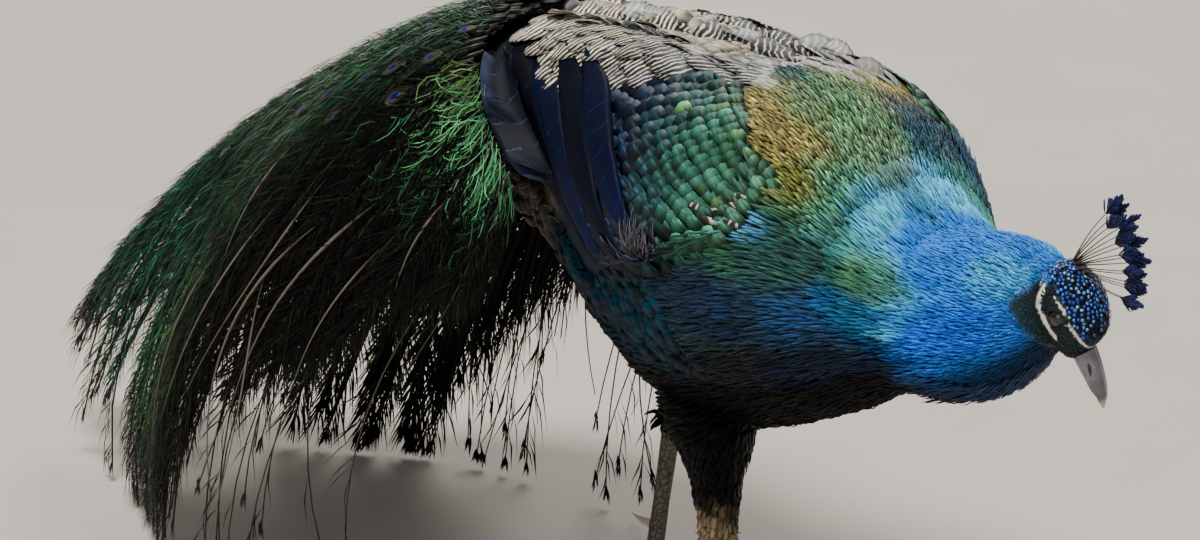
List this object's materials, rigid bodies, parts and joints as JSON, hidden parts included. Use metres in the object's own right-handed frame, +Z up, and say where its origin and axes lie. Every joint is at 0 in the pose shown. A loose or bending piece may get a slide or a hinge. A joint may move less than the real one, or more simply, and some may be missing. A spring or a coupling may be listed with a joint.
{
  "type": "peacock",
  "caption": "Life-size still peacock in mid stride, leaning forward and looking down, its train falling behind to the floor.",
  "frame": {"origin": "on the floor, under the middle of the bird's bounding box", "axes": "+X the way the bird faces, +Y its left side, +Z up"},
  "size_m": [1.1018, 0.3354, 0.475],
  "materials": {
    "train_feathers": "loose green and black-brown feathers with a metallic gloss",
    "tail_feathers": "stiff brown feathers",
    "eye": "dark brown, wet and glossy",
    "claw": "dark horn",
    "spur": "pale horn",
    "bill": "grey horn",
    "leg_scales": "grey-brown scales",
    "thigh_feathers": "short black feathers",
    "barred_feathers": "cream feathers with black bars",
    "dark_blue_feathers": "black-blue feathers with a sheen",
    "green_feathers": "glossy green scale-like feathers",
    "crest_feathers": "bare stems with blue-black vanes",
    "blue_feathers": "short glossy blue feathers",
    "body_feathers": "glossy green and blue-black feathers"
  },
  "bodies": {
    "root": {"bill_lower": "bill", "bill_upper": "bill", "breast": "body_feathers", "claw_hind_left": "claw", "claw_hind_right": "claw", "claw_inner_left": "claw", "claw_inner_right": "claw", "claw_middle_left": "claw", "claw_middle_right": "claw", "claw_outer_left": "claw", "claw_outer_right": "claw", "coverts_left": "green_feathers", "coverts_right": "green_feathers", "crest": "crest_feathers", "eye_left": "eye", "eye_right": "eye", "foot_left": "leg_scales", "foot_right": "leg_scales", "head": "blue_feathers", "neck_lower": "blue_feathers", "neck_upper": "blue_feathers", "rump": "body_feathers", "scapulars_left": "barred_feathers", "scapulars_right": "barred_feathers", "secondaries_left": "dark_blue_feathers", "secondaries_right": "dark_blue_feathers", "spur_left": "spur", "spur_right": "spur", "tail": "tail_feathers", "tarsus_left": "leg_scales", "tarsus_right": "leg_scales", "thigh_left": "thigh_feathers", "thigh_right": "thigh_feathers", "train_00": "train_feathers", "train_01": "train_feathers", "train_02": "train_feathers", "train_03": "train_feathers", "train_04": "train_feathers", "train_05": "train_feathers", "train_06": "train_feathers", "train_07": "train_feathers", "train_08": "train_feathers", "train_09": "train_feathers", "train_10": "train_feathers", "trunk": "body_feathers"}
  },
  "joints": []
}
